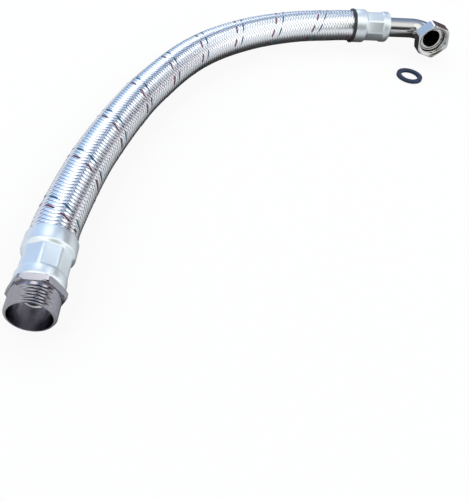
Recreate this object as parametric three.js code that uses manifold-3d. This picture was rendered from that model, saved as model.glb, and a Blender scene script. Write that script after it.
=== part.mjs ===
// Pressure tank hose: a rubber tube in a steel wire braid, crimped to a threaded nipple at
// one end and to an elbow with a swivel nut at the other, with the nut's flat gasket beside it.
// Millimetres, +Z up. The hose lies on the plane z = 0, with its origin under the middle of its box.
import * as THREE from 'three';
import { mergeVertices } from 'three/addons/utils/BufferGeometryUtils.js';
import Module from 'manifold-3d';

const wasm = await Module();
wasm.setup();

// Clearances
const SEAT_GAP = 0.3;          // between two pieces that touch
const TURN_GAP = 0.5;          // radial play of the swivel nut on the pipe
const NUT_PLAY = 0.3;          // axial play of the nut behind the pipe's collar

// Hose centreline from one ferrule's mouth to the other's, chosen by hand, resting on the floor
const ROUTE = [
  [-182, -166, 18.1],
  [-182, -153.5, 17.9],
  [-180, -134, 17.5],
  [-175.5, -101.5, 17.3],
  [-169.5, -70, 17.3],
  [-161.5, -39, 17.3],
  [-152.5, -8.5, 17.3],
  [-142, 22, 17.3],
  [-129, 52, 17.3],
  [-115, 80.5, 17.3],
  [-99.5, 106.5, 17.3],
  [-80, 131.5, 17.3],
  [-56.5, 154, 17.3],
  [-31, 173.5, 17.3],
  [-3.5, 189.5, 17.3],
  [25.5, 202.5, 17.3],
  [55, 211, 17.5],
  [73.5, 215, 18.3],
  [85.5, 216, 18.8],
];

// Pipe wall shared by the nipple's tail and the elbow
const PIPE_DIAMETER = 21.5;
const PIPE_WALL = 1.15;
const BARB_COUNT = 4;
const BARB_PITCH = 5;
const BARB_DEPTH = 0.5;
const PIPE_SIDES = 20;

// Rubber tube and wire braid
const HOSE_SLACK = 0.65;       // between the pipe's tail and the tube's bore before the crimp
const LINER_WALL = 3.7;
const CRIMPED_LINER_WALL = 1.85;
const BRAID_WALL = 1;
const CRIMPED_BRAID_WALL = 0.9;
const HOSE_SIDES = 20;
const LINER_SIDES = 14;
const HOSE_STEP = 14;

// Coloured tracer threads on the braid
const TRACER_LAY = 56;
const TRACER_WIDTH = 1.7;
const TRACER_THICKNESS = 0.35;
const TRACER_LIFT = 0.45;
const TRACER_STEPS_PER_TURN = 24;
const TRACER_END_MARGIN = 5;
const RED_START_ANGLE = -102;
const BLUE_LEAD = 9;           // how far the blue thread runs ahead of the red one

// Crimped ferrules
const FERRULE_WALL = 1;
const FERRULE_SIDES = 24;
const BELL_SLACK = 0.75;       // between the braid and the bell
const BELL_LENGTH = 12.5;
const SHOULDER_LENGTH = 2.5;
const WAIST_ROUNDING = 1.8;    // how much the waist's corners stand out over its flats
const WAIST_LENGTH = 16.5;
const WAIST_SIDES = 8;
const BULGE_OVER_WAIST = 2.6;
const BULGE_LENGTH = 8;
const LIP_LENGTH = 3;

// Rubber ring at the elbow ferrule's mouth
const RING_THICKNESS = 2;
const RING_WIDTH = 3;

// Male nipple, 1 inch pipe thread
const THREAD_MAJOR = 32.4;
const THREAD_DEPTH = 1.4;
const THREAD_PITCH = 2.309;
const THREAD_TURNS = 6;
const THREAD_RELIEF = 1.6;
const RIM_WIDTH = 0.75;
const MOUTH_CONE_LENGTH = 17;
const RIM_CHAMFER = 0.8;
const MALE_HEX_OVER_THREAD = 0.5;
const MALE_HEX_CORNERS_OVER_FLATS = 4.8;
const MALE_HEX_LENGTH = 5;
const HEX_CHAMFER = 1.2;
const FITTING_SIDES = 24;

// Elbow
const ELBOW_LEAD = 28;         // straight pipe between ferrule and bend
const ELBOW_RADIUS = 19.5;
const ELBOW_BEND_STEPS = 9;
const COLLAR_REACH = 5;        // straight pipe from the bend to the collar's face
const COLLAR_SLACK = 0.6;      // between the collar and the nut's thread
const COLLAR_THICKNESS = 2.7;
const COLLAR_CHAMFER = 0.9;

// Swivel nut, same thread as the nipple
const NUT_WALL = 1.3;          // from the thread's root to a flat
const NUT_CORNERS_OVER_FLATS = 4.4;
const NUT_LENGTH = 14.8;
const NUT_WALL_BEHIND_COLLAR = 3;
const NUT_MOUTH_CHAMFER = 1;
const NUT_THREAD_TURNS = 2;
const NUT_TURN = 15;           // degrees from a corner straight up

// Flat gasket lying beside the nut
const GASKET_SLACK = 0.3;      // between the gasket and the nut's thread
const GASKET_WIDTH = 5;
const GASKET_THICKNESS = 3;
const GASKET_SIDES = 32;
const GASKET_PLACE = [145.5, 145];

// Sizes that follow from those above
const pipeRadius = PIPE_DIAMETER / 2;
const pipeBoreRadius = pipeRadius - PIPE_WALL;
const linerBoreRadius = pipeRadius + HOSE_SLACK;
const linerRadius = linerBoreRadius + LINER_WALL;
const braidBoreRadius = linerRadius + SEAT_GAP;
const braidRadius = braidBoreRadius + BRAID_WALL;
const crimpedLinerBore = pipeRadius + SEAT_GAP;
const crimpedLinerRadius = crimpedLinerBore + CRIMPED_LINER_WALL;
const crimpedBraidBore = crimpedLinerRadius + SEAT_GAP;
const crimpedBraidRadius = crimpedBraidBore + CRIMPED_BRAID_WALL;
const waistBoreRadius = crimpedBraidRadius + SEAT_GAP;
const waistFlats = 2 * (waistBoreRadius + FERRULE_WALL);
const waistRadius = waistFlats / 2 + WAIST_ROUNDING / 2;
const bellRadius = braidRadius + BELL_SLACK + FERRULE_WALL;
const bulgeRadius = waistFlats / 2 + BULGE_OVER_WAIST / 2;
const ferruleLength = BELL_LENGTH + SHOULDER_LENGTH + WAIST_LENGTH + SHOULDER_LENGTH + BULGE_LENGTH;
const waistStart = BELL_LENGTH + SHOULDER_LENGTH;
const waistEnd = waistStart + WAIST_LENGTH;
const threadRadius = THREAD_MAJOR / 2;
const threadRootRadius = threadRadius - THREAD_DEPTH;
const mouthRadius = threadRootRadius - RIM_WIDTH;
const threadLength = THREAD_TURNS * THREAD_PITCH + THREAD_RELIEF;
const maleHexFlats = THREAD_MAJOR + 2 * MALE_HEX_OVER_THREAD;
const nippleLength = threadLength + MALE_HEX_LENGTH + SEAT_GAP;
const collarRadius = threadRootRadius - COLLAR_SLACK;
const nutFlats = THREAD_MAJOR + 2 * NUT_WALL;
const gasketRadius = threadRootRadius - GASKET_SLACK;

const line = new THREE.CatmullRomCurve3(ROUTE.map((p) => new THREE.Vector3(...p)), false, 'centripetal');
line.arcLengthDivisions = 800;
const hoseLength = line.getLength();
const bendStart = hoseLength + ferruleLength + ELBOW_LEAD;
const bendEnd = bendStart + ELBOW_RADIUS * Math.PI / 2;
const collarFace = bendEnd + COLLAR_REACH;
const UP = new THREE.Vector3(0, 0, 1);

// Point and directions of the whole part's centreline at a distance from the male ferrule's mouth
function lineAt(distance) {
  const inside = THREE.MathUtils.clamp(distance / hoseLength, 0, 1);
  const point = line.getPointAt(inside);
  const along = line.getTangentAt(inside);
  if (distance < 0) {
    point.addScaledVector(along, distance);
  } else if (distance > hoseLength) {
    point.addScaledVector(along, Math.min(distance, bendStart) - hoseLength);
  }
  if (distance > bendStart) {
    const angle = Math.min((distance - bendStart) / ELBOW_RADIUS, Math.PI / 2);
    const right = new THREE.Vector3().crossVectors(along, UP).normalize();
    const lead = along.clone();
    point.addScaledVector(lead, ELBOW_RADIUS * Math.sin(angle));
    point.addScaledVector(right, ELBOW_RADIUS * (1 - Math.cos(angle)));
    along.multiplyScalar(Math.cos(angle)).addScaledVector(right, Math.sin(angle));
    point.addScaledVector(along, Math.max(0, distance - bendEnd));
  }
  const left = new THREE.Vector3().crossVectors(UP, along).normalize();
  const over = new THREE.Vector3().crossVectors(along, left);
  return { point, along, left, over };
}

// Moves every vertex of a straight shape, whose axis is +Z, onto the centreline
function bendOntoLine(geometry) {
  const position = geometry.attributes.position;
  for (let i = 0; i < position.count; i += 1) {
    const { point, left, over } = lineAt(position.getZ(i));
    point.addScaledVector(left, position.getX(i));
    point.addScaledVector(over, position.getY(i));
    position.setXYZ(i, point.x, point.y, point.z);
  }
  geometry.computeVertexNormals();
  return geometry;
}

// Turned shape about +Z from a closed outline of [radius, height] pairs
function turned(outline, sides) {
  const points = outline.map(([radius, height]) => new THREE.Vector2(radius, height));
  points.push(points[0].clone());
  return new THREE.LatheGeometry(points, sides).rotateX(Math.PI / 2);
}

// Prism about +Z with flat sides a given distance apart, one of its corners on the Y axis
function prism(flats, sides, from, to) {
  const radius = flats / 2 / Math.cos(Math.PI / sides);
  const shape = new THREE.CylinderGeometry(radius, radius, to - from, sides).rotateX(Math.PI / 2);
  return shape.translate(0, 0, (from + to) / 2);
}

function solidOf(geometry) {
  const bare = geometry.clone();
  for (const name of Object.keys(bare.attributes)) {
    if (name !== 'position') bare.deleteAttribute(name);
  }
  const merged = mergeVertices(bare, 1e-4);
  return new wasm.Manifold(new wasm.Mesh({
    numProp: 3,
    vertProperties: new Float32Array(merged.attributes.position.array),
    triVerts: new Uint32Array(merged.index.array),
  }));
}

function geometryOf(solid) {
  const { vertProperties, triVerts } = solid.getMesh();
  const geometry = new THREE.BufferGeometry();
  geometry.setAttribute('position', new THREE.BufferAttribute(vertProperties, 3));
  geometry.setIndex(new THREE.BufferAttribute(triVerts, 1));
  geometry.computeVertexNormals();
  return geometry;
}

// Hexagon whose corners are turned down to a round and chamfered at both ends, centred on the Y axis
function hexagon(flats, corners, from, to, chamfer) {
  const round = turned([
    [0, from],
    [corners / 2 - chamfer, from],
    [corners / 2, from + chamfer * 0.6],
    [corners / 2, to - chamfer * 0.6],
    [corners / 2 - chamfer, to],
    [0, to],
  ], FITTING_SIDES * 2);
  return solidOf(prism(flats, 6, from - 1, to + 1)).intersect(solidOf(round));
}

// Outline of the sawtooth grooves of a pipe thread, as plain rings
function threadRings(root, crest, from, turns) {
  const outline = [];
  for (let turn = 0; turn < turns; turn += 1) {
    const start = from + turn * THREAD_PITCH;
    outline.push([root, start + THREAD_PITCH * 0.1]);
    outline.push([crest, start + THREAD_PITCH * 0.5]);
    outline.push([root, start + THREAD_PITCH * 0.9]);
  }
  return outline;
}

// Distances along the hose where its wall gets a ring of vertices
function hoseStations() {
  const steps = Math.round(hoseLength / HOSE_STEP);
  return Array.from({ length: steps + 1 }, (_, i) => (i * hoseLength) / steps);
}

// Sleeve along the hose that narrows under both ferrules
function hoseSleeve(radius, bore, crimpedRadius, crimpedBore, sides) {
  const outer = [];
  const inner = [];
  const cut = waistEnd - SEAT_GAP;
  const narrow = waistStart - SEAT_GAP;
  const wide = BELL_LENGTH - SHOULDER_LENGTH;
  outer.push([crimpedRadius, -cut], [crimpedRadius, -narrow], [radius, -wide]);
  inner.push([crimpedBore, -cut], [crimpedBore, -narrow], [bore, -wide]);
  for (const station of hoseStations()) {
    outer.push([radius, station]);
    inner.push([bore, station]);
  }
  outer.push([radius, hoseLength + wide]);
  outer.push([crimpedRadius, hoseLength + narrow]);
  outer.push([crimpedRadius, hoseLength + cut]);
  inner.push([bore, hoseLength + wide], [crimpedBore, hoseLength + narrow], [crimpedBore, hoseLength + cut]);
  return bendOntoLine(turned([...outer, ...inner.reverse()], sides));
}

function rubberLiner() {
  return hoseSleeve(linerRadius, linerBoreRadius, crimpedLinerRadius, crimpedLinerBore, LINER_SIDES);
}

function wireBraid() {
  return hoseSleeve(braidRadius, braidBoreRadius, crimpedBraidRadius, crimpedBraidBore, HOSE_SIDES);
}

// Thread wound round the braid as a flat band, following the hose's bends
function tracer(startAngle, lead) {
  const from = TRACER_END_MARGIN;
  const length = hoseLength - 2 * TRACER_END_MARGIN;
  const steps = Math.round((length / TRACER_LAY) * TRACER_STEPS_PER_TURN);
  const band = new THREE.BoxGeometry(TRACER_WIDTH, TRACER_THICKNESS, length, 1, 1, steps);
  const position = band.attributes.position;
  const middle = braidRadius + TRACER_LIFT + TRACER_THICKNESS / 2;
  for (let i = 0; i < position.count; i += 1) {
    const distance = from + length / 2 + position.getZ(i);
    const across = position.getX(i) / middle;
    const turns = (distance - lead) / TRACER_LAY;
    const angle = THREE.MathUtils.degToRad(startAngle) + 2 * Math.PI * turns + across;
    const radius = middle + position.getY(i);
    position.setXYZ(i, radius * Math.sin(angle), radius * Math.cos(angle), distance);
  }
  return bendOntoLine(band);
}

// Crimped sleeve from its mouth, at height 0, to the lip that closes on the pipe
function ferrule() {
  const bulgeStart = waistEnd + SHOULDER_LENGTH;
  const lip = pipeRadius + SEAT_GAP;
  const shell = solidOf(turned([
    [bellRadius, 0],
    [bellRadius, BELL_LENGTH],
    [waistRadius, waistStart],
    [waistRadius, waistEnd],
    [bulgeRadius, bulgeStart],
    [bulgeRadius, ferruleLength - LIP_LENGTH],
    [bulgeRadius - LIP_LENGTH * 0.35, ferruleLength - LIP_LENGTH * 0.3],
    [bulgeRadius - LIP_LENGTH, ferruleLength],
    [lip, ferruleLength],
    [lip, ferruleLength - FERRULE_WALL],
    [bulgeRadius - LIP_LENGTH, ferruleLength - FERRULE_WALL],
    [bulgeRadius - FERRULE_WALL, ferruleLength - LIP_LENGTH],
    [bulgeRadius - FERRULE_WALL, bulgeStart],
    [waistBoreRadius, waistEnd],
    [waistBoreRadius, waistStart],
    [bellRadius - FERRULE_WALL, BELL_LENGTH],
    [bellRadius - FERRULE_WALL, 0],
  ], FERRULE_SIDES));
  const around = solidOf(prism(bellRadius * 4, WAIST_SIDES, waistStart, waistEnd));
  const jaws = around.subtract(solidOf(prism(waistFlats, WAIST_SIDES, waistStart - 1, waistEnd + 1)));
  return geometryOf(shell.subtract(jaws));
}

// Rubber ring pushed against the elbow ferrule's mouth
function ferruleRing() {
  const inner = braidRadius + SEAT_GAP;
  const outer = inner + RING_THICKNESS;
  const crown = RING_WIDTH * 0.25;
  return turned([
    [inner, -RING_WIDTH],
    [outer - crown, -RING_WIDTH],
    [outer, -RING_WIDTH + crown],
    [outer, -crown],
    [outer - crown, 0],
    [inner, 0],
  ], FERRULE_SIDES);
}

// Barbed outside of a tail that ends at height 0 and runs up to a given height
function barbs(top) {
  const outline = [[pipeRadius - BARB_DEPTH * 2, 0]];
  for (let barb = 0; barb < BARB_COUNT; barb += 1) {
    const start = barb * BARB_PITCH;
    outline.push([pipeRadius, start + BARB_PITCH * 0.8]);
    outline.push([pipeRadius - BARB_DEPTH, start + BARB_PITCH]);
  }
  outline.push([pipeRadius, BARB_COUNT * BARB_PITCH + BARB_PITCH * 0.5], [pipeRadius, top]);
  return outline;
}

// Nipple with its mouth at height 0 and its tail towards +Z
function maleNipple() {
  const hexEnd = threadLength + MALE_HEX_LENGTH;
  const tailLength = ferruleLength + SEAT_GAP;
  const tail = barbs(tailLength).map(([radius, height]) => [radius, hexEnd + tailLength - height]).reverse();
  const body = solidOf(turned([
    [mouthRadius, 0],
    [threadRootRadius, 0],
    [threadRootRadius + RIM_CHAMFER, RIM_CHAMFER],
    ...threadRings(threadRootRadius, threadRadius, RIM_CHAMFER, THREAD_TURNS).slice(1),
    [threadRootRadius, hexEnd - 1],
    [pipeRadius + FERRULE_WALL, hexEnd - 1],
    ...tail,
    [pipeBoreRadius, hexEnd + tailLength],
    [pipeBoreRadius, MOUTH_CONE_LENGTH],
  ], FITTING_SIDES));
  const corners = maleHexFlats + MALE_HEX_CORNERS_OVER_FLATS;
  const hex = hexagon(maleHexFlats, corners, threadLength, hexEnd, HEX_CHAMFER);
  const bore = solidOf(turned([
    [0, threadLength - 1],
    [coneRadius(threadLength - 1), threadLength - 1],
    [coneRadius(MOUTH_CONE_LENGTH), MOUTH_CONE_LENGTH],
    [pipeBoreRadius, hexEnd + 1],
    [0, hexEnd + 1],
  ], FITTING_SIDES));
  return geometryOf(body.add(hex.subtract(bore)));
}

function coneRadius(height) {
  const share = Math.min(height / MOUTH_CONE_LENGTH, 1);
  return THREE.MathUtils.lerp(mouthRadius, pipeBoreRadius, share);
}

// Bent pipe from its barbed tail inside the hose to the collar that holds the nut
function elbowPipe() {
  const tailStart = hoseLength;
  const ferruleEnd = hoseLength + ferruleLength;
  const collarBack = collarFace - COLLAR_THICKNESS;
  const bend = Array.from({ length: ELBOW_BEND_STEPS + 1 },
    (_, i) => THREE.MathUtils.lerp(bendStart, bendEnd, i / ELBOW_BEND_STEPS));
  const tail = barbs(ferruleLength).map(([radius, height]) => [radius, tailStart + height]);
  const outer = [...tail.slice(0, -1), [pipeRadius, ferruleEnd], ...bend.map((s) => [pipeRadius, s])];
  const inner = [...bend.map((s) => [pipeBoreRadius, s]).reverse(), [pipeBoreRadius, tailStart]];
  return bendOntoLine(turned([
    ...outer,
    [pipeRadius, collarBack],
    [collarRadius, collarBack],
    [collarRadius, collarFace - COLLAR_CHAMFER / 2],
    [collarRadius - COLLAR_CHAMFER / 2, collarFace],
    [pipeBoreRadius + COLLAR_CHAMFER, collarFace],
    [pipeBoreRadius, collarFace - COLLAR_CHAMFER],
    ...inner,
  ], PIPE_SIDES));
}

// Nut with its mouth at height 0 and its back towards -Z
function swivelNut() {
  const wall = NUT_LENGTH - NUT_WALL_BEHIND_COLLAR;
  const lead = NUT_MOUTH_CHAMFER * 1.5;
  const thread = threadRings(threadRootRadius, threadRadius, lead, NUT_THREAD_TURNS);
  const cavity = solidOf(turned([
    [0, 1],
    [threadRadius + NUT_MOUTH_CHAMFER / 2, 1],
    [threadRadius + NUT_MOUTH_CHAMFER / 2, 0],
    [threadRootRadius, -lead],
    ...thread.map(([radius, height]) => [radius, -height]),
    [threadRootRadius, -wall],
    [pipeRadius + TURN_GAP, -wall],
    [pipeRadius + TURN_GAP, -NUT_LENGTH - 1],
    [0, -NUT_LENGTH - 1],
  ].reverse(), FITTING_SIDES));
  const body = hexagon(nutFlats, nutFlats + NUT_CORNERS_OVER_FLATS, -NUT_LENGTH, 0, HEX_CHAMFER);
  return geometryOf(body.subtract(cavity));
}

function flatGasket() {
  return turned([
    [gasketRadius, 0],
    [gasketRadius, GASKET_THICKNESS],
    [gasketRadius - GASKET_WIDTH, GASKET_THICKNESS],
    [gasketRadius - GASKET_WIDTH, 0],
  ], GASKET_SIDES);
}

const nickel = { color: 0xc9c8c6, roughness: 0.2, metalness: 1 };
const zinc = { color: 0xd3d8de, roughness: 0.42, metalness: 0.9 };
const steel = { color: 0xc4c7cc, roughness: 0.35, metalness: 0.9 };
const rubber = { color: 0x17181a, roughness: 0.75, metalness: 0 };
const redThread = { color: 0xb8323a, roughness: 0.5, metalness: 0 };
const blueThread = { color: 0x3f63a8, roughness: 0.5, metalness: 0 };
const navyRubber = { color: 0x1d2a44, roughness: 0.7, metalness: 0 };

const group = new THREE.Group();

function addPiece(name, geometry, look) {
  const mesh = new THREE.Mesh(geometry, new THREE.MeshStandardMaterial(look));
  mesh.name = name;
  group.add(mesh);
  return mesh;
}

// Turns a piece's +Z along the centreline at a distance, with its Y axis turned from straight up
function placeOnLine(mesh, distance, turn = 0, reversed = false) {
  const { point, along, left, over } = lineAt(distance);
  const side = reversed ? left.negate() : left;
  const forward = reversed ? along.negate() : along;
  mesh.quaternion.setFromRotationMatrix(new THREE.Matrix4().makeBasis(side, over, forward));
  mesh.rotateZ(THREE.MathUtils.degToRad(turn));
  mesh.position.copy(point);
}

addPiece('rubber_liner', rubberLiner(), rubber);
addPiece('wire_braid', wireBraid(), steel);
addPiece('red_tracer', tracer(RED_START_ANGLE, 0), redThread);
addPiece('blue_tracer', tracer(RED_START_ANGLE, BLUE_LEAD), blueThread);
addPiece('elbow_pipe', elbowPipe(), nickel);

const nippleMouth = -ferruleLength - nippleLength;
const flatUp = 180 / 6;
placeOnLine(addPiece('male_nipple', maleNipple(), nickel), nippleMouth, flatUp);
placeOnLine(addPiece('male_ferrule', ferrule(), zinc), 0, 0, true);
placeOnLine(addPiece('elbow_ferrule', ferrule(), zinc), hoseLength);
placeOnLine(addPiece('ferrule_ring', ferruleRing(), rubber), hoseLength - SEAT_GAP);

const nutMouth = collarFace - COLLAR_THICKNESS - NUT_PLAY - NUT_WALL_BEHIND_COLLAR + NUT_LENGTH;
placeOnLine(addPiece('swivel_nut', swivelNut(), nickel), nutMouth, NUT_TURN);

// The gasket lies on the same floor as the hose, and the origin is under the middle of the box
const box = new THREE.Box3().setFromObject(group, true);
const middle = box.getCenter(new THREE.Vector3());
const gasket = addPiece('flat_gasket', flatGasket(), navyRubber);
gasket.position.set(...GASKET_PLACE, box.min.z);
group.position.set(-middle.x, -middle.y, -box.min.z);

export default group;
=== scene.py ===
"""Looks of the pressure tank hose: woven braid, turned fittings with real threads, metal and rubber."""
import math

import bpy
from mathutils import Matrix, Vector

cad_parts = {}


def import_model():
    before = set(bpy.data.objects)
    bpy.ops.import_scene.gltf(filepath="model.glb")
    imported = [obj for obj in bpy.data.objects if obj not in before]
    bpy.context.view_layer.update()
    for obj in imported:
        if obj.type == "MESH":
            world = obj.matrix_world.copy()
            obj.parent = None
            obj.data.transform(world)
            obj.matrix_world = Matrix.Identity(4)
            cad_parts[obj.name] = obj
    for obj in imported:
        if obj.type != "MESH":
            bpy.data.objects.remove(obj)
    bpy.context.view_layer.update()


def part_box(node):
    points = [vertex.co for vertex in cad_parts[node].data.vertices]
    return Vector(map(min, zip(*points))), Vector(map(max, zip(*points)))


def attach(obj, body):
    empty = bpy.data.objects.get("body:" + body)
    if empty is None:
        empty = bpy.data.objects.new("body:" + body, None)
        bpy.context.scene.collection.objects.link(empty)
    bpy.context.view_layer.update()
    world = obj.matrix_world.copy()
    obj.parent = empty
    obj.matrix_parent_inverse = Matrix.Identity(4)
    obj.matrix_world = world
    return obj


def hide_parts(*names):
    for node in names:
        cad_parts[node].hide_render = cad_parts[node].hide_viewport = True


# Lengths are in millimetres where nothing else is said
MM = 0.001

# Hose centreline from one ferrule's mouth to the other's, the same points as in part.mjs
ROUTE = [
    (-182, -166, 18.1),
    (-182, -153.5, 17.9),
    (-180, -134, 17.5),
    (-175.5, -101.5, 17.3),
    (-169.5, -70, 17.3),
    (-161.5, -39, 17.3),
    (-152.5, -8.5, 17.3),
    (-142, 22, 17.3),
    (-129, 52, 17.3),
    (-115, 80.5, 17.3),
    (-99.5, 106.5, 17.3),
    (-80, 131.5, 17.3),
    (-56.5, 154, 17.3),
    (-31, 173.5, 17.3),
    (-3.5, 189.5, 17.3),
    (25.5, 202.5, 17.3),
    (55, 211, 17.5),
    (73.5, 215, 18.3),
    (85.5, 216, 18.8),
]
GASKET_PLACE = (145.5, 145)
ROUTE_STEP = 0.5
CORD_STEPS = 200
SEAT_GAP = 0.3

# Camera, placed in the route's own coordinates, with its angles in degrees
CAMERA_PLACE = (-95.2, -425.9, 306)
CAMERA_HEADING = 8
CAMERA_DIP = 47
CAMERA_ROLL = 10.5
CAMERA_FOCAL_PIXELS = 558
PHOTO_HEIGHT_PIXELS = 501
SENSOR_WIDTH = 36
NEAREST_SEEN_METRES = 0.01

# Braid: carriers wound both ways, each over two and under two of the others, with angles in degrees
CARRIERS = 16
BRAID_LAY = 56
BRAID_ANGLE = 60
BRAID_RADIUS = 16.4
BRAID_WAVE = 0.15
BRAID_WAVE_STEEPNESS = 1.7
BRAID_CROWN = 0.09
CARRIER_COVER = 0.95
WIRES_PER_CARRIER = 7
# Share of a carrier's width over which the painted shade at its edges fades in
CARRIER_EDGE = 0.15
STRIPS_PER_RIBBON = 2
STEPS_PER_CROSSING = 3
BRAID_TUCK = 9
BRAID_OUTSIDE = 16.4
RIGHT_WOUND_START = -102
LEFT_WOUND_START = 31.75

# Tracers: threads that lie on two of the carriers, shifted by degrees round the hose
TRACER_LIFT = 0.176
TRACER_WIDTH = 1.5
RED_CARRIER = 0
RED_SHIFT = 0
BLUE_CARRIER = -3
BLUE_SHIFT = 7.5
TRACER_END_MARGIN = 5

# Ferrules
FERRULE_WALL = 1
FERRULE_EDGE = 0.5
FERRULE_INNER_EDGE = 0.2
BELL_DIAMETER = 36.3
BELL_LENGTH = 12.5
SHOULDER_LENGTH = 2.5
SHOULDER_IN_BELL = 1
SHOULDER_IN_BULGE = 0.5
WAIST_FLATS = 30.8
WAIST_CORNERS = 32.6
WAIST_LENGTH = 16.5
WAIST_SIDES = 8
BULGE_DIAMETER = 33.4
BULGE_LENGTH = 8
LIP_LENGTH = 3
CRIMP_STEPS = 8

# Rubber ring
RING_THICKNESS = 2
RING_WIDTH = 3
RING_EDGE = 0.8
RING_GRIP = 0.05

# Pipe, nipple and thread
PIPE_DIAMETER = 21.5
PIPE_BORE = 19.2
THREAD_MAJOR = 32.4
THREAD_MINOR = 29.6
THREAD_PITCH = 2.309
THREAD_TURNS = 6
THREAD_START = 0.3
THREAD_RELIEF = 1.6
THREAD_TAPER = 1
THREAD_RUN_OUT = 0.2
THREAD_ROOT_FILL = 0.4
PLAIN_BAND = 2.6
PLAIN_BAND_STEP = 0.1
PLAIN_BAND_GAP = 0.05
MOUTH_BORE = 28.1
MOUTH_CONE_LENGTH = 17
BOWL_ROUNDNESS = 1.6
BOWL_STEPS = 16
MALE_HEX_FLATS = 33.4
MALE_HEX_CORNERS = 38.2
MALE_HEX_LENGTH = 5
HEX_SIDES = 6
HEX_CHAMFER = 1.2
HEX_CHAMFER_SLOPE = 0.6
TAIL_GAP = 0.02
NIPPLE_TURN = 30

# Elbow and nut
ELBOW_LEAD = 28
ELBOW_RADIUS = 19.5
ELBOW_STEPS = 40
COLLAR_REACH = 5
COLLAR_DIAMETER = 28.4
COLLAR_THICKNESS = 2.7
COLLAR_CHAMFER = 0.9
COLLAR_BACK_EDGE = 0.3
NUT_FLATS = 35
NUT_CORNERS = 39.4
NUT_LENGTH = 14.8
NUT_WALL_BEHIND_COLLAR = 3
NUT_PLAY = 0.3
TURN_GAP = 0.5
NUT_MOUTH_CHAMFER = 1
NUT_THREAD_START = 1.5
NUT_THREAD_TURNS = 2
NUT_TURN = 15

# Gasket
GASKET_OUTER = 29
GASKET_INNER = 19
GASKET_THICKNESS = 3
GASKET_EDGE = 0.35

# A thread's ridge: its height before the top is cut off, and how narrow it is
RIDGE_HEIGHT = 1.25
RIDGE_NARROWNESS = 1.15

# Where the outlines of nipple and nut have rows, as shares of the hexagon's length
MALE_HEX_ROWS = (0, 0.05, 0.15, 0.25, 0.5, 0.75, 0.85, 0.95, 1)
NUT_ROWS = (0, 0.02, 0.05, 0.08, 0.5, 0.92, 0.95, 0.98, 1)

# Broken edges of the two mouths, as steps outwards and along from a radius at the face
RIM_INNER_EDGE = ((0.15, 0.1), (0.4, 0))
RIM_OUTER_EDGE = ((-0.2, 0), (0, 0.15))
NUT_MOUTH_EDGE = ((0.2, 0), (0, -0.1))

# Distance of a rounded edge's middle from both faces, as a share of its radius
EDGE_MIDDLE = 0.3

# Fineness of the meshes, and the angles in degrees up to which edges are shaded as smooth
FITTING_SIDES = 144
RING_SIDES = 96
PIPE_SIDES = 64
ROWS_PER_TURN = 14
STEPS_PER_EDGE = 4
SMOOTH_ANGLE = 32
RIBBON_SMOOTH_ANGLE = 80

# Materials: colour, roughness, metallic, and the scale, strength and depth of a fine bump
MATERIALS = {
    "nickel": ((0.56, 0.55, 0.54), 0.14, 1, (900, 0.05, 0.2)),
    # The nipple's nickel is a darker copy of the nickel above: painted shade for the darker surroundings it
    # reflects
    "painted_shade_nickel": ((0.34, 0.33, 0.36), 0.14, 1, (900, 0.05, 0.2)),
    "zinc": ((0.76, 0.81, 0.83), 0.42, 1, (500, 0.12, 0.3)),
    "black_rubber": ((0.02, 0.02, 0.024), 0.5, 0, (1500, 0.2, 0.1)),
    "navy_rubber": ((0.012, 0.024, 0.058), 0.8, 0, (1500, 0.25, 0.1)),
    "red_thread": ((0.11, 0.01, 0.03), 0.45, 0, None),
    "blue_thread": ((0.015, 0.08, 0.14), 0.45, 0, None),
}
NOISE_DETAIL = 3
BRAID_COLOUR = (0.72, 0.75, 0.8)
BRAID_ROUGHNESS = 0.2
# Braid: painted highlight on the wires' crowns, painted shade between the wires and at each carrier's edges
PAINTED_SHADE_BETWEEN_WIRES = (0.78, 0.79, 0.82)
PAINTED_HIGHLIGHT_ON_WIRES = (0.98, 0.985, 1)
PAINTED_SHADE_AT_CARRIER_EDGES = (0.33, 0.34, 0.38)
WIRE_BUMP = 0.2
WIRE_DEPTH = 0.15

# Floor: half its width and its shadow's reach in metres, and the tones that openness turns into
FLOOR_HALF_WIDTH = 6
SHADOW_REACH = 0.08
SHADOW_OPENNESS = (0.6, 0.97)
SHADOW_TONES = (0.06, 0.7)
FLOOR_COLOUR = (0.9, 0.9, 0.9)
FLOOR_ROUGHNESS = 0.9

# Share of the floor's shadow that the camera sees, and that metal and glass reflect
FLOOR_SHADOW = 0.06
FLOOR_SHADOW_IN_METAL = 1

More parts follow.
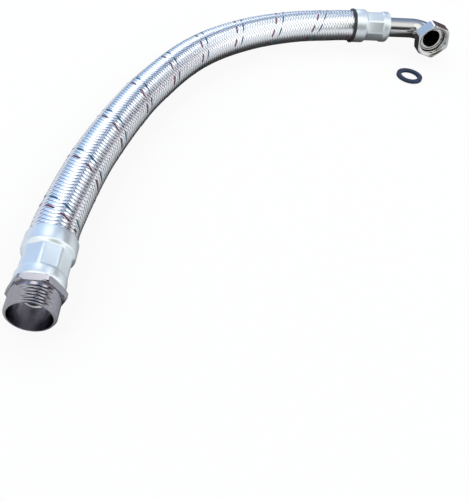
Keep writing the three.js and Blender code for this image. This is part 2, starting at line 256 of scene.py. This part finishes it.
# What metal reflects: direction, dot product where a tone begins and is full, and the tone
BACKGROUND = (1, 1, 1)
STUDIO_PANELS = [
    ((0.05, 0.9, 0.35), 0.3, 0.62, (0.46, 0.58, 0.78)),
    ((-0.55, 0.8, 0.2), 0.66, 0.9, (0.6, 0.84, 1.2)),
    ((0.32, 0.58, 0.75), 0.96, 0.99, (0.34, 0.46, 0.66)),
    ((-0.3, 0.52, 0.8), 0.965, 0.985, (0.34, 0.42, 0.6)),
    ((0.15, 0.88, 0.45), 0.93, 0.975, (0.2, 0.32, 0.54)),
    ((-0.06, 0.76, 0.65), 0.94, 0.98, (2.3, 2.35, 2.4)),
    ((0.53, 0.62, 0.58), 0.945, 0.98, (2.2, 2.3, 2.35)),
    ((0.24, 0.72, 0.65), 0.965, 0.988, (0.3, 0.41, 0.6)),
    ((0.97, 0.1, 0.08), 0.9, 0.96, (1.6, 1.6, 1.65)),
    ((0.86, 0.5, 0.0), 0.95, 0.98, (2.2, 2.1, 2.2)),
    ((0.77, 0.57, 0.28), 0.95, 0.98, (0.04, 0.035, 0.06)),
    ((0.7, -0.3, 0.6), 0.8, 0.92, (1.25, 1.3, 1.32)),
    ((-0.2, -0.5, 0.84), 0.8, 0.93, (1.6, 1.65, 1.6)),
    ((0.5, 0.86, 0.1), 0.95, 0.98, (0.12, 0.08, 0.1)),
    ((-0.86, 0.3, 0.2), 0.8, 0.93, (0.6, 0.7, 0.95)),
    ((0.1, -0.97, 0.2), 0.8, 0.92, (0.05, 0.045, 0.04)),
]

# Lights: name, place and target in metres, width in metres, power in watts, and colour
LIGHTS = [
    ("overhead", (0.1, 0.2, 1.4), (0, 0, 0), 1.6, 6, (1, 1, 1)),
    ("left_window", (-1.2, 0.9, 0.9), (0, 0.05, 0), 0.8, 4, (0.85, 0.92, 1)),
]

HOSE_BODY = "hose"
NUT_BODY = "nut"

FERRULE_LENGTH = BELL_LENGTH + SHOULDER_LENGTH + WAIST_LENGTH + SHOULDER_LENGTH + BULGE_LENGTH
WAIST_START = BELL_LENGTH + SHOULDER_LENGTH
WAIST_END = WAIST_START + WAIST_LENGTH
THREAD_LENGTH = THREAD_TURNS * THREAD_PITCH + THREAD_RELIEF
NIPPLE_LENGTH = THREAD_LENGTH + MALE_HEX_LENGTH + SEAT_GAP
PIPE_RADIUS = PIPE_DIAMETER / 2


class Centreline:
    """The hose's line: a centripetal Catmull-Rom curve, run on past its ends and round the elbow."""

    def __init__(self, points, offset):
        knots = [Vector(p) + offset for p in points]
        knots = [knots[0] * 2 - knots[1]] + knots + [knots[-1] * 2 - knots[-2]]
        self.points = []
        for i in range(1, len(knots) - 2):
            self.points += self.stretch(*knots[i - 1:i + 3])
        self.points.append(knots[-2])
        self.lengths = [0.0]
        for a, b in zip(self.points, self.points[1:]):
            self.lengths.append(self.lengths[-1] + (b - a).length)
        self.length = self.lengths[-1]
        self.bend_start = self.length + FERRULE_LENGTH + ELBOW_LEAD
        self.bend_end = self.bend_start + ELBOW_RADIUS * math.pi / 2
        self.collar_face = self.bend_end + COLLAR_REACH

    @staticmethod
    def stretch(before, start, end, after):
        """Points between two knots, without the last one."""
        knots = (before, start, end, after)
        lead, span, trail = (math.sqrt((b - a).length) for a, b in zip(knots, knots[1:]))
        middle = (end - start) / span
        first = ((start - before) / lead - (end - before) / (lead + span) + middle) * span
        last = (middle - (after - start) / (span + trail) + (after - end) / trail) * span
        steps = max(2, round((end - start).length / ROUTE_STEP))
        found = []
        for step in range(steps):
            t = step / steps
            found.append(start * (2 * t ** 3 - 3 * t ** 2 + 1) + end * (3 * t ** 2 - 2 * t ** 3)
                         + first * (t ** 3 - 2 * t ** 2 + t) + last * (t ** 3 - t ** 2))
        return found

    def inside(self, distance):
        """Point and direction between the two ferrule mouths."""
        distance = min(max(distance, 0.0), self.length)
        low = min(int(distance / self.length * (len(self.points) - 2)), len(self.points) - 2)
        while low > 0 and self.lengths[low] > distance:
            low -= 1
        while low < len(self.points) - 2 and self.lengths[low + 1] < distance:
            low += 1
        share = (distance - self.lengths[low]) / (self.lengths[low + 1] - self.lengths[low])
        chords = [self.chord(low - 1), self.chord(low), self.chord(low + 1)]
        start = (chords[0] + chords[1]).normalized()
        end = (chords[1] + chords[2]).normalized()
        return self.points[low].lerp(self.points[low + 1], share), start.lerp(end, share).normalized()

    def chord(self, index):
        """Direction from one point of the line to the next."""
        index = min(max(index, 0), len(self.points) - 2)
        return (self.points[index + 1] - self.points[index]).normalized()

    def at(self, distance):
        """Point, direction along, and the directions to the left and over the line."""
        point, along = self.inside(distance)
        if distance < 0:
            point = point + along * distance
        elif distance > self.length:
            point = point + along * (min(distance, self.bend_start) - self.length)
        if distance > self.bend_start:
            angle = min((distance - self.bend_start) / ELBOW_RADIUS, math.pi / 2)
            right = along.cross(Vector((0, 0, 1))).normalized()
            ahead = ELBOW_RADIUS * math.sin(angle)
            aside = ELBOW_RADIUS * (1 - math.cos(angle))
            point = point + along * ahead + right * aside
            along = along * math.cos(angle) + right * math.sin(angle)
            point = point + along * max(0.0, distance - self.bend_end)
        left = Vector((0, 0, 1)).cross(along).normalized()
        return point, along, left, along.cross(left)


def evenly(start, end, steps):
    """Evenly spaced values from start to end, both included."""
    return [start + (end - start) * step / steps for step in range(steps + 1)]


def ramp(value, low, high):
    """0 below low, 1 above high, smooth between."""
    share = min(max((value - low) / (high - low), 0.0), 1.0)
    return share * share * (3 - 2 * share)


def stepped(radius, steps):
    """Outline points at steps outwards and along from a radius at height 0."""
    return [(radius + out, along) for out, along in steps]


def flat_sided(angle, flats, sides):
    """Radius of a shape with flat sides, one corner at angle 0."""
    sector = 2 * math.pi / sides
    return flats / 2 / math.cos((angle % sector) - sector / 2)


def hexagon_radius(flats, corners, height, low, high):
    """Radius of a hexagon between two heights, with its corners turned down and its ends chamfered."""
    edge = min(height - low, high - height)
    cap = corners / 2 - max(0.0, HEX_CHAMFER - edge / HEX_CHAMFER_SLOPE)
    return lambda angle: min(flat_sided(angle, flats, HEX_SIDES), cap)


def thread_radius(root, crest, height, start, turns):
    """Radius of a helical thread that fades out at both ends."""
    end = start + turns * THREAD_PITCH
    begun = ramp(height, start - THREAD_RUN_OUT, start + THREAD_TAPER)
    fade = begun * (1 - ramp(height, end - THREAD_TAPER, end + THREAD_RUN_OUT))

    def radius(angle):
        phase = ((height - start) / THREAD_PITCH - angle / (2 * math.pi)) % 1
        ridge = min(1.0, max(0.0, RIDGE_HEIGHT * (1 - abs(2 * phase - 1) * RIDGE_NARROWNESS)))
        return root + (crest - root) * ridge * fade
    return radius


def turned(outline, sides):
    """Vertices and faces of a turned shape about +Z. A radius is a number or a function of the angle."""
    rows = []
    for radius, height in outline:
        row = []
        for side in range(sides):
            angle = 2 * math.pi * side / sides
            reach = radius(angle) if callable(radius) else radius
            row.append(Vector((-reach * math.sin(angle), reach * math.cos(angle), height)))
        rows.append(row)
    vertices = [v for row in rows for v in row]
    faces = []
    count = len(rows)
    for r in range(count):
        for s in range(sides):
            t = (s + 1) % sides
            n = (r + 1) % count
            faces.append((r * sides + s, r * sides + t, n * sides + t, n * sides + s))
    return vertices, faces


def add_mesh(name, vertices, faces, material, body, smooth_angle=SMOOTH_ANGLE):
    """A piece made of vertices in millimetres, riding on a body."""
    mesh = bpy.data.meshes.new(name)
    mesh.from_pydata([v * MM for v in vertices], [], faces)
    mesh.polygons.foreach_set("use_smooth", [True] * len(mesh.polygons))
    mesh.set_sharp_from_angle(angle=math.radians(smooth_angle))
    mesh.materials.append(material)
    piece = bpy.data.objects.new(name, mesh)
    bpy.context.scene.collection.objects.link(piece)
    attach(piece, body)
    return piece


def bent(vertices, line):
    """A straight shape about +Z laid on the centreline."""
    placed = []
    for v in vertices:
        point, _, left, over = line.at(v.z)
        placed.append(point + left * v.x + over * v.y)
    return placed


def put_on_line(vertices, line, distance, turn=0.0, reverse=False):
    """A rigid shape's +Z turned along the centreline at a distance."""
    point, along, left, over = line.at(distance)
    if reverse:
        along, left = -along, -left
    turn = math.radians(turn)
    side = left * math.cos(turn) + over * math.sin(turn)
    rise = over * math.cos(turn) - left * math.sin(turn)
    return [point + side * v.x + rise * v.y + along * v.z for v in vertices]


def facing_out(vertices, faces):
    """The faces, turned round if the closed shape is inside out."""
    volume = 0.0
    for face in faces:
        a = vertices[face[0]]
        for i in range(1, len(face) - 1):
            volume += a.dot(vertices[face[i]].cross(vertices[face[i + 1]]))
    return faces if volume > 0 else [tuple(reversed(f)) for f in faces]


def add_turned(name, outline, place, material, body, node, sides=FITTING_SIDES):
    """A closed turned piece that replaces a CAD node. place moves its vertices to where they belong."""
    vertices, faces = turned(outline, sides)
    vertices = place(vertices)
    piece = add_mesh(name, vertices, facing_out(vertices, faces), material, body)
    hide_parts(node)
    return piece


def braid_height(index_sum):
    """Height of a carrier over the mean radius, from the sum of the two carriers' indices."""
    wave = math.cos((index_sum - 0.5) * math.pi / 2)
    return BRAID_WAVE * min(max(BRAID_WAVE_STEEPNESS * wave, -1.0), 1.0)


def carrier_angles(index, hand, distance, shift):
    """Angle of a carrier's thread at a distance, and the crossing position along it in carriers."""
    spacing = 360 / CARRIERS
    turn = 360 * distance / BRAID_LAY
    if hand > 0:
        angle = RIGHT_WOUND_START + spacing * index + turn + shift
        return angle, (angle + turn - LEFT_WOUND_START) / spacing
    angle = LEFT_WOUND_START + spacing * index - turn + shift
    return angle, (angle - turn - RIGHT_WOUND_START) / spacing


def ribbon_rows(line, ribbon, start, end):
    """Rows of points of one flat ribbon wound round the hose."""
    rows = []
    for distance in evenly(start, end, round((end - start) / BRAID_LAY * CARRIERS * 2 * STEPS_PER_CROSSING)):
        point, _, left, over = line.at(distance)
        row = []
        for k in range(STRIPS_PER_RIBBON + 1):
            share = 2 * k / STRIPS_PER_RIBBON - 1
            shift = ribbon["shift"] + share * ribbon["half_width"]
            angle, crossing = carrier_angles(ribbon["index"], ribbon["hand"], distance, shift)
            wave = ribbon["hand"] * braid_height(ribbon["index"] + crossing)
            reach = BRAID_RADIUS + wave + ribbon["lift"] + BRAID_CROWN * (1 - share * share)
            around = math.radians(angle)
            row.append(point + left * (reach * math.sin(around)) + over * (reach * math.cos(around)))
        rows.append(row)
    return rows


def add_ribbons(name, line, ribbons, start, end, material):
    """One mesh of flat ribbons, with the share across each ribbon and the steps along it as its UVs."""
    vertices, faces, places = [], [], []
    width = STRIPS_PER_RIBBON + 1
    for ribbon in ribbons:
        rows = ribbon_rows(line, ribbon, start, end)
        base = len(vertices)
        for r, row in enumerate(rows):
            vertices += row
            places += [(k / STRIPS_PER_RIBBON, r / STEPS_PER_CROSSING) for k in range(width)]
        for r in range(len(rows) - 1):
            for k in range(STRIPS_PER_RIBBON):
                a = base + r * width + k
                faces.append((a, a + width, a + width + 1, a + 1))
    piece = add_mesh(name, vertices, faces, material, HOSE_BODY, RIBBON_SMOOTH_ANGLE)
    layer = piece.data.uv_layers.new(name="UVMap")
    corners = [0] * len(piece.data.loops)
    piece.data.loops.foreach_get("vertex_index", corners)
    layer.data.foreach_set("uv", [value for corner in corners for value in places[corner]])
    return piece


def add_braid(line, material):
    """The wire braid, which runs on into both ferrules."""
    half_width = 180 / CARRIERS * CARRIER_COVER
    ribbons = [
        {"index": index, "hand": hand, "half_width": half_width, "shift": 0, "lift": 0}
        for hand in (1, -1) for index in range(CARRIERS)
    ]
    braid = add_ribbons("woven_braid", line, ribbons, -BRAID_TUCK, line.length + BRAID_TUCK, material)
    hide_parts("wire_braid")
    return braid


def add_tracer(name, line, index, shift, node, material):
    """A coloured thread that lies on a carrier and dives under the others with it."""
    half_width = math.degrees(TRACER_WIDTH / 2 / BRAID_RADIUS) / math.cos(math.radians(BRAID_ANGLE))
    ribbon = {"index": index, "hand": 1, "half_width": half_width, "shift": shift, "lift": TRACER_LIFT}
    end = line.length - TRACER_END_MARGIN
    thread = add_ribbons(name, line, [ribbon], TRACER_END_MARGIN, end, material)
    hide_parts(node)
    return thread


def crimped(round_radius, depth):
    """Radius between a round section, at depth 0, and the octagon of a ferrule's waist, at depth 1."""
    def radius(angle):
        pressed = min(flat_sided(angle, WAIST_FLATS, WAIST_SIDES), WAIST_CORNERS / 2)
        return round_radius + (pressed - round_radius) * depth
    return radius


def ferrule_outline():
    """Outline of a ferrule from its mouth, at height 0, with the octagonal crimp on its waist."""
    bell = BELL_DIAMETER / 2
    bulge = BULGE_DIAMETER / 2
    lip_start = FERRULE_LENGTH - LIP_LENGTH
    edge = FERRULE_EDGE * EDGE_MIDDLE
    bell_end = BELL_LENGTH - SHOULDER_IN_BELL
    outline = [(bell - FERRULE_EDGE, 0), (bell - edge, edge), (bell, FERRULE_EDGE)]
    outline.append((bell, bell_end - FERRULE_EDGE))
    for share in evenly(0, 1, CRIMP_STEPS):
        height = bell_end + (SHOULDER_LENGTH + SHOULDER_IN_BELL) * share
        outline.append((crimped(bell, ramp(share, 0, 1)), height))
    outline.append((crimped(bell, 1), (WAIST_START + WAIST_END) / 2))
    for share in evenly(0, 1, CRIMP_STEPS):
        height = WAIST_END + (SHOULDER_LENGTH + SHOULDER_IN_BULGE) * share
        outline.append((crimped(bulge, 1 - ramp(share, 0, 1)), height))
    for angle in evenly(0, math.pi / 2, CRIMP_STEPS):
        reach = bulge - LIP_LENGTH * (1 - math.cos(angle))
        outline.append((reach, lip_start + LIP_LENGTH * math.sin(angle)))
    return outline + ferrule_inside(bell, bulge, lip_start)


def ferrule_inside(bell, bulge, lip_start):
    """Outline of a ferrule's inside, from its lip back to its mouth."""
    lip = PIPE_RADIUS + SEAT_GAP
    waist = WAIST_FLATS / 2
    return [
        (lip, FERRULE_LENGTH),
        (lip, FERRULE_LENGTH - FERRULE_WALL),
        (bulge - LIP_LENGTH, FERRULE_LENGTH - FERRULE_WALL),
        (bulge - FERRULE_WALL, lip_start),
        (bulge - FERRULE_WALL, WAIST_END + SHOULDER_LENGTH),
        (waist - FERRULE_WALL, WAIST_END),
        (waist - FERRULE_WALL, WAIST_START),
        (bell - FERRULE_WALL, BELL_LENGTH),
        (bell - FERRULE_WALL, FERRULE_INNER_EDGE),
    ]


def rounded_ring_outline(inner, outer, low, high, edge):
    """Section of a flat ring with four rounded edges."""
    outline = []
    corners = ((outer - edge, low + edge, -90), (outer - edge, high - edge, 0),
               (inner + edge, high - edge, 90), (inner + edge, low + edge, 180))
    for centre, height, start in corners:
        for degrees in evenly(start, start + 90, STEPS_PER_EDGE):
            angle = math.radians(degrees)
            outline.append((centre + edge * math.cos(angle), height + edge * math.sin(angle)))
    return outline


def nipple_outline():
    """Outline of the male nipple from its mouth, at height 0, to the end of its tail."""
    hex_end = THREAD_LENGTH + MALE_HEX_LENGTH
    tail_end = hex_end + SEAT_GAP + FERRULE_LENGTH
    band_start = THREAD_LENGTH - PLAIN_BAND
    root = THREAD_MINOR / 2
    crest = THREAD_MAJOR / 2
    band = crest - PLAIN_BAND_STEP
    bore = PIPE_BORE / 2
    outline = stepped(MOUTH_BORE / 2, RIM_INNER_EDGE) + stepped(root, RIM_OUTER_EDGE)
    for height in evenly(THREAD_START, band_start, ROWS_PER_TURN * THREAD_TURNS):
        groove = root + THREAD_ROOT_FILL
        outline.append((thread_radius(groove, crest, height, THREAD_START, THREAD_TURNS), height))
    outline += [(band, band_start + PLAIN_BAND_STEP), (band, THREAD_LENGTH - PLAIN_BAND_GAP)]
    for share in MALE_HEX_ROWS:
        height = THREAD_LENGTH + MALE_HEX_LENGTH * share
        reach = hexagon_radius(MALE_HEX_FLATS, MALE_HEX_CORNERS, height, THREAD_LENGTH, hex_end)
        outline.append((reach, height))
    outline += [(PIPE_RADIUS, hex_end + TAIL_GAP), (PIPE_RADIUS, tail_end), (bore, tail_end)]
    for share in evenly(1, 0, BOWL_STEPS):
        bowl = math.sqrt(max(0.0, 1 - share ** BOWL_ROUNDNESS))
        outline.append((bore + (MOUTH_BORE - PIPE_BORE) / 2 * bowl, MOUTH_CONE_LENGTH * share))
    return outline


def elbow_outline(line):
    """Outline of the elbow along the centreline, from its tail in the hose to its collar's face."""
    collar = COLLAR_DIAMETER / 2
    bore = PIPE_BORE / 2
    face = line.collar_face
    back = face - COLLAR_THICKNESS
    edge = COLLAR_CHAMFER / 2
    bend = evenly(line.bend_start, line.bend_end, ELBOW_STEPS)
    outline = [(PIPE_RADIUS, line.length)] + [(PIPE_RADIUS, place) for place in bend]
    outline += [(PIPE_RADIUS, back), (collar - COLLAR_BACK_EDGE, back), (collar, back + COLLAR_BACK_EDGE)]
    outline += [(collar, face - edge), (collar - edge * EDGE_MIDDLE, face - edge * EDGE_MIDDLE)]
    outline += [(collar - edge, face), (bore + COLLAR_CHAMFER, face)]
    outline += [(bore + COLLAR_CHAMFER * EDGE_MIDDLE, face - COLLAR_CHAMFER * EDGE_MIDDLE)]
    outline += [(bore, face - COLLAR_CHAMFER)]
    outline += [(bore, place) for place in reversed(bend)]
    outline.append((bore, line.length))
    return outline


def nut_outline():
    """Outline of the swivel nut with its mouth at height 0 and its back towards -Z."""
    wall = -(NUT_LENGTH - NUT_WALL_BEHIND_COLLAR)
    root = THREAD_MAJOR / 2
    crest = THREAD_MINOR / 2
    outline = []
    for share in NUT_ROWS:
        height = -NUT_LENGTH * (1 - share)
        outline.append((hexagon_radius(NUT_FLATS, NUT_CORNERS, height, -NUT_LENGTH, 0), height))
    outline += stepped(root + NUT_MOUTH_CHAMFER / 2, NUT_MOUTH_EDGE)
    end = -NUT_THREAD_START - NUT_THREAD_TURNS * THREAD_PITCH
    rows = evenly(-NUT_THREAD_START, end, ROWS_PER_TURN * NUT_THREAD_TURNS)
    outline.append((crest, rows[0]))
    for height in rows[1:]:
        outline.append((thread_radius(crest, root, height, end, NUT_THREAD_TURNS), height))
    outline += [(crest, wall), (PIPE_RADIUS + TURN_GAP, wall), (PIPE_RADIUS + TURN_GAP, -NUT_LENGTH)]
    return outline


def add_fittings(line, nickel, painted_shade_nickel, zinc, rubber):
    """The turned pieces of both ends. Returns those on the elbow's end."""
    mouth = -FERRULE_LENGTH - NIPPLE_LENGTH
    nut_mouth = line.collar_face - COLLAR_THICKNESS - NUT_PLAY - NUT_WALL_BEHIND_COLLAR + NUT_LENGTH
    # The nipple gets the darker copy of the nickel, which is painted shade
    add_turned("threaded_nipple", nipple_outline(), lambda v: put_on_line(v, line, mouth, NIPPLE_TURN),
               painted_shade_nickel, HOSE_BODY, "male_nipple")
    add_turned("crimped_male_ferrule", ferrule_outline(), lambda v: put_on_line(v, line, 0, reverse=True),
               zinc, HOSE_BODY, "male_ferrule")
    far = [
        add_turned("crimped_elbow_ferrule", ferrule_outline(), lambda v: put_on_line(v, line, line.length),
                   zinc, HOSE_BODY, "elbow_ferrule"),
        add_turned("bent_elbow_pipe", elbow_outline(line), lambda v: bent(v, line),
                   nickel, HOSE_BODY, "elbow_pipe", PIPE_SIDES),
        add_turned("hexagon_swivel_nut", nut_outline(), lambda v: put_on_line(v, line, nut_mouth, NUT_TURN),
                   nickel, NUT_BODY, "swivel_nut"),
    ]
    inner = BRAID_RADIUS + BRAID_WAVE + BRAID_CROWN - RING_GRIP
    outer = BRAID_OUTSIDE + SEAT_GAP + RING_THICKNESS
    section = rounded_ring_outline(inner, outer, -RING_WIDTH, 0, RING_EDGE)
    far.append(add_turned("rubber_end_ring", section, lambda v: put_on_line(v, line, line.length - SEAT_GAP),
                          rubber, HOSE_BODY, "ferrule_ring", RING_SIDES))
    return far


def add_gasket(centre, floor, material):
    """The loose flat gasket, at the place of its CAD node."""
    section = rounded_ring_outline(GASKET_INNER / 2, GASKET_OUTER / 2, 0, GASKET_THICKNESS, GASKET_EDGE)
    place = Vector((centre.x / MM, centre.y / MM, floor / MM))
    return add_turned("round_flat_gasket", section, lambda v: [p + place for p in v],
                      material, HOSE_BODY, "flat_gasket", RING_SIDES)


def new_material(name, colour, roughness, metallic):
    """A plain material and its shader."""
    material = bpy.data.materials.new(name)
    material.use_nodes = True
    shader = material.node_tree.nodes["Principled BSDF"]
    shader.inputs["Base Color"].default_value = (*colour, 1)
    shader.inputs["Roughness"].default_value = roughness
    shader.inputs["Metallic"].default_value = metallic
    return material, shader


def math_node(tree, operation, source, value=None):
    """The output of a math node that works on another node's output."""
    node = tree.nodes.new("ShaderNodeMath")
    node.operation = operation
    tree.links.new(source, node.inputs[0])
    if value is not None:
        node.inputs[1].default_value = value
    return node.outputs[0]


def mapped(tree, source, from_range=(0, 1), to_range=(0, 1), smooth=False):
    """Another node's output, mapped from one range to the other."""
    node = tree.nodes.new("ShaderNodeMapRange")
    if smooth:
        node.interpolation_type = "SMOOTHSTEP"
    for name, value in zip(("From Min", "From Max", "To Min", "To Max"), from_range + to_range):
        node.inputs[name].default_value = value
    tree.links.new(source, node.inputs["Value"])
    return node.outputs["Result"]


def mixed(tree, share, below, above):
    """The colour below where share is 0 and the one above where it is 1, each a tuple or an output."""
    mix = tree.nodes.new("ShaderNodeMix")
    mix.data_type = "RGBA"
    tree.links.new(share, mix.inputs["Factor"])
    for name, colour in (("A", below), ("B", above)):
        if isinstance(colour, tuple):
            mix.inputs[name].default_value = (*colour, 1)
        else:
            tree.links.new(colour, mix.inputs[name])
    return mix.outputs["Result"]


def add_bump(tree, shader, height, strength, depth):
    """Bumps of a depth in millimetres, from another node's output."""
    bump = tree.nodes.new("ShaderNodeBump")
    bump.inputs["Strength"].default_value = strength
    bump.inputs["Distance"].default_value = depth * MM
    tree.links.new(height, bump.inputs["Height"])
    tree.links.new(bump.outputs["Normal"], shader.inputs["Normal"])


def add_noise_bump(tree, shader, scale, strength, depth):
    """Fine unevenness of a surface."""
    place = tree.nodes.new("ShaderNodeTexCoord")
    noise = tree.nodes.new("ShaderNodeTexNoise")
    noise.inputs["Scale"].default_value = scale
    noise.inputs["Detail"].default_value = NOISE_DETAIL
    tree.links.new(place.outputs["Object"], noise.inputs["Vector"])
    add_bump(tree, shader, noise.outputs["Fac"], strength, depth)


def plain_materials():
    """All materials but the braid's, by name."""
    made = {}
    for name, (colour, roughness, metallic, bump) in MATERIALS.items():
        made[name], shader = new_material(name, colour, roughness, metallic)
        if bump:
            add_noise_bump(made[name].node_tree, shader, *bump)
    return made


def braid_material():
    """Wires side by side across each carrier, with a painted highlight on their crowns and painted shade
    between them and at the carrier's edges.
    """
    material, shader = new_material("braid_wire", BRAID_COLOUR, BRAID_ROUGHNESS, 1)
    tree = material.node_tree
    place = tree.nodes.new("ShaderNodeUVMap")
    place.uv_map = "UVMap"
    split = tree.nodes.new("ShaderNodeSeparateXYZ")
    tree.links.new(place.outputs["UV"], split.inputs[0])
    across = split.outputs["X"]
    phase = math_node(tree, "MULTIPLY", across, math.pi * WIRES_PER_CARRIER)
    roundness = math_node(tree, "ABSOLUTE", math_node(tree, "SINE", phase))
    # Painted highlight on each wire's crown, painted shade between the wires
    wire_highlight_and_shade = mixed(tree, roundness, PAINTED_SHADE_BETWEEN_WIRES, PAINTED_HIGHLIGHT_ON_WIRES)
    # Painted shade at the carrier's edges, where it dives under the others
    from_edge = math_node(tree, "PINGPONG", across, 0.5)
    inside = mapped(tree, from_edge, (0, CARRIER_EDGE), smooth=True)
    tree.links.new(mixed(tree, inside, PAINTED_SHADE_AT_CARRIER_EDGES, wire_highlight_and_shade), shader.inputs["Base Color"])
    add_bump(tree, shader, roundness, WIRE_BUMP, WIRE_DEPTH)
    return material


def studio_world():
    """A white background, with soft panels before it that light the part and that only the camera misses."""
    world = bpy.data.worlds.new("studio")
    bpy.context.scene.world = world
    world.use_nodes = True
    tree = world.node_tree
    background = tree.nodes["Background"]
    direction = tree.nodes.new("ShaderNodeTexCoord").outputs["Generated"]
    colour = BACKGROUND
    for axis, low, high, tone in STUDIO_PANELS:
        dot = tree.nodes.new("ShaderNodeVectorMath")
        dot.operation = "DOT_PRODUCT"
        dot.inputs[1].default_value = Vector(axis).normalized()
        tree.links.new(direction, dot.inputs[0])
        share = mapped(tree, dot.outputs["Value"], (low, high), smooth=True)
        colour = mixed(tree, share, colour, tone)
    seen = tree.nodes.new("ShaderNodeLightPath")
    shown = mixed(tree, seen.outputs["Is Camera Ray"], colour, BACKGROUND)
    tree.links.new(shown, background.inputs["Color"])
    background.inputs["Strength"].default_value = 1


def floor_material():
    """White with the part's shadow: faint to the camera, full to what metal and glass reflect."""
    material, shader = new_material("floor_white", FLOOR_COLOUR, FLOOR_ROUGHNESS, 0)
    shader.inputs["Specular IOR Level"].default_value = 0
    tree = material.node_tree
    under_part = tree.nodes.new("ShaderNodeAmbientOcclusion")
    under_part.inputs["Distance"].default_value = SHADOW_REACH
    tone = mapped(tree, under_part.outputs["AO"], SHADOW_OPENNESS, SHADOW_TONES)
    tree.links.new(tone, shader.inputs["Base Color"])
    seen = tree.nodes.new("ShaderNodeLightPath")
    reflected = tree.nodes.new("ShaderNodeMath")
    reflected.operation = "MAXIMUM"
    tree.links.new(seen.outputs["Is Glossy Ray"], reflected.inputs[0])
    tree.links.new(seen.outputs["Is Transmission Ray"], reflected.inputs[1])
    shares = (FLOOR_SHADOW, FLOOR_SHADOW_IN_METAL)
    shadow = mapped(tree, reflected.outputs[0], to_range=shares)
    glow = tree.nodes.new("ShaderNodeEmission")
    lit = tree.nodes.new("ShaderNodeMixShader")
    tree.links.new(shadow, lit.inputs[0])
    tree.links.new(glow.outputs[0], lit.inputs[1])
    tree.links.new(shader.outputs[0], lit.inputs[2])
    tree.links.new(lit.outputs[0], tree.nodes["Material Output"].inputs["Surface"])
    return material


def add_floor():
    """The white floor, which camera, metal and glass all see."""
    size = FLOOR_HALF_WIDTH
    mesh = bpy.data.meshes.new("floor")
    corners = [(-size, -size, 0), (size, -size, 0), (size, size, 0), (-size, size, 0)]
    mesh.from_pydata(corners, [], [(0, 1, 2, 3)])
    floor = bpy.data.objects.new("floor", mesh)
    bpy.context.scene.collection.objects.link(floor)
    mesh.materials.append(floor_material())


def add_light(name, place, target, size, power, colour):
    """A square light that gives no highlight of its own in metal."""
    light = bpy.data.lights.new(name, "AREA")
    light.size = size
    light.energy = power
    light.color = colour
    lamp = bpy.data.objects.new(name, light)
    bpy.context.scene.collection.objects.link(lamp)
    lamp.visible_glossy = False
    lamp.location = place
    lamp.rotation_euler = (Vector(target) - Vector(place)).to_track_quat("-Z", "Y").to_euler()


def add_camera(offset):
    """The photograph's viewpoint: looking down along the hose, rolled a little."""
    heading, dip, roll = (math.radians(a) for a in (CAMERA_HEADING, CAMERA_DIP, CAMERA_ROLL))
    forward = Vector((math.sin(heading) * math.cos(dip), math.cos(heading) * math.cos(dip), -math.sin(dip)))
    level = Vector((math.cos(heading), -math.sin(heading), 0))
    rise = level.cross(forward)
    right = level * math.cos(roll) + rise * math.sin(roll)
    up = rise * math.cos(roll) - level * math.sin(roll)
    data = bpy.data.cameras.new("photo_camera")
    data.sensor_width = SENSOR_WIDTH
    data.lens = CAMERA_FOCAL_PIXELS * SENSOR_WIDTH / PHOTO_HEIGHT_PIXELS
    data.clip_start = NEAREST_SEEN_METRES
    camera = bpy.data.objects.new("photo_camera", data)
    bpy.context.scene.collection.objects.link(camera)
    turn = Matrix((right, up, -forward)).transposed().to_4x4()
    camera.matrix_world = Matrix.Translation((Vector(CAMERA_PLACE) + offset) * MM) @ turn
    bpy.context.scene.camera = camera


def main():
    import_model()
    low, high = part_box("flat_gasket")
    centre = (low + high) / 2
    offset = Vector((centre.x / MM - GASKET_PLACE[0], centre.y / MM - GASKET_PLACE[1], 0))
    line = Centreline(ROUTE, offset)
    add_camera(offset)

    looks = plain_materials()
    braid = add_braid(line, braid_material())
    add_tracer("red_tracer_thread", line, RED_CARRIER, RED_SHIFT, "red_tracer",
               looks["red_thread"])
    add_tracer("blue_tracer_thread", line, BLUE_CARRIER, BLUE_SHIFT, "blue_tracer",
               looks["blue_thread"])
    far_pieces = add_fittings(line, looks["nickel"], looks["painted_shade_nickel"], looks["zinc"],
                              looks["black_rubber"])
    add_gasket(centre, low.z, looks["navy_rubber"])

    path = [line.inside(distance)[0] * MM for distance in evenly(0, line.length, CORD_STEPS)]
    line.inside(0)[0] * MM

    studio_world()
    add_floor()
    for light in LIGHTS:
        add_light(*light)
    bpy.context.scene.view_settings.view_transform = "Standard"


main()
